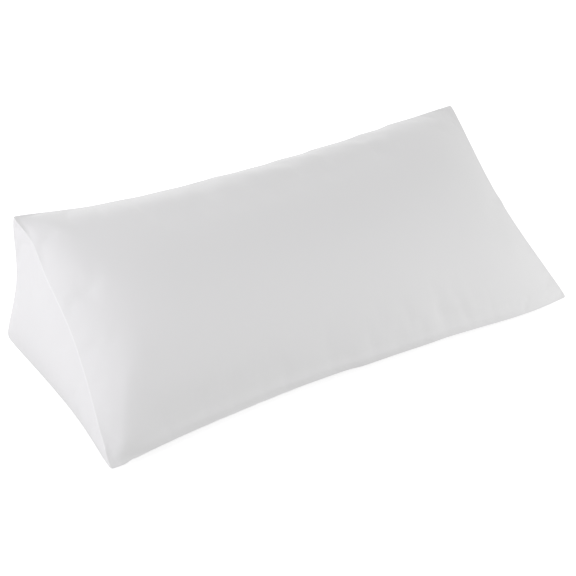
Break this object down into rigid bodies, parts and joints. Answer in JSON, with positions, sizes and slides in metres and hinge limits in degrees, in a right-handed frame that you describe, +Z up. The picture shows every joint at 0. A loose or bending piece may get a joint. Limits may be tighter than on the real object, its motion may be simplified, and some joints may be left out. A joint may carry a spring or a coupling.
{
  "type": "wedge pillow",
  "caption": "Long three-sided wedge pillow of plain white cotton, filled, with a sloping front for leaning or raising legs, lying on its base.",
  "frame": {"origin": "middle of the box round the pillow, on the surface that its base lies on", "axes": "+X along the pillow's length, +Y from the thin front edge to the tall back, +Z up"},
  "size_m": [0.7788, 0.369, 0.24],
  "materials": {
    "white_cotton": "matte, finely and closely woven plain white cotton, smooth, with the filling showing as a soft crown"
  },
  "bodies": {
    "root": {"wedge_pillow": "white_cotton"}
  },
  "joints": []
}
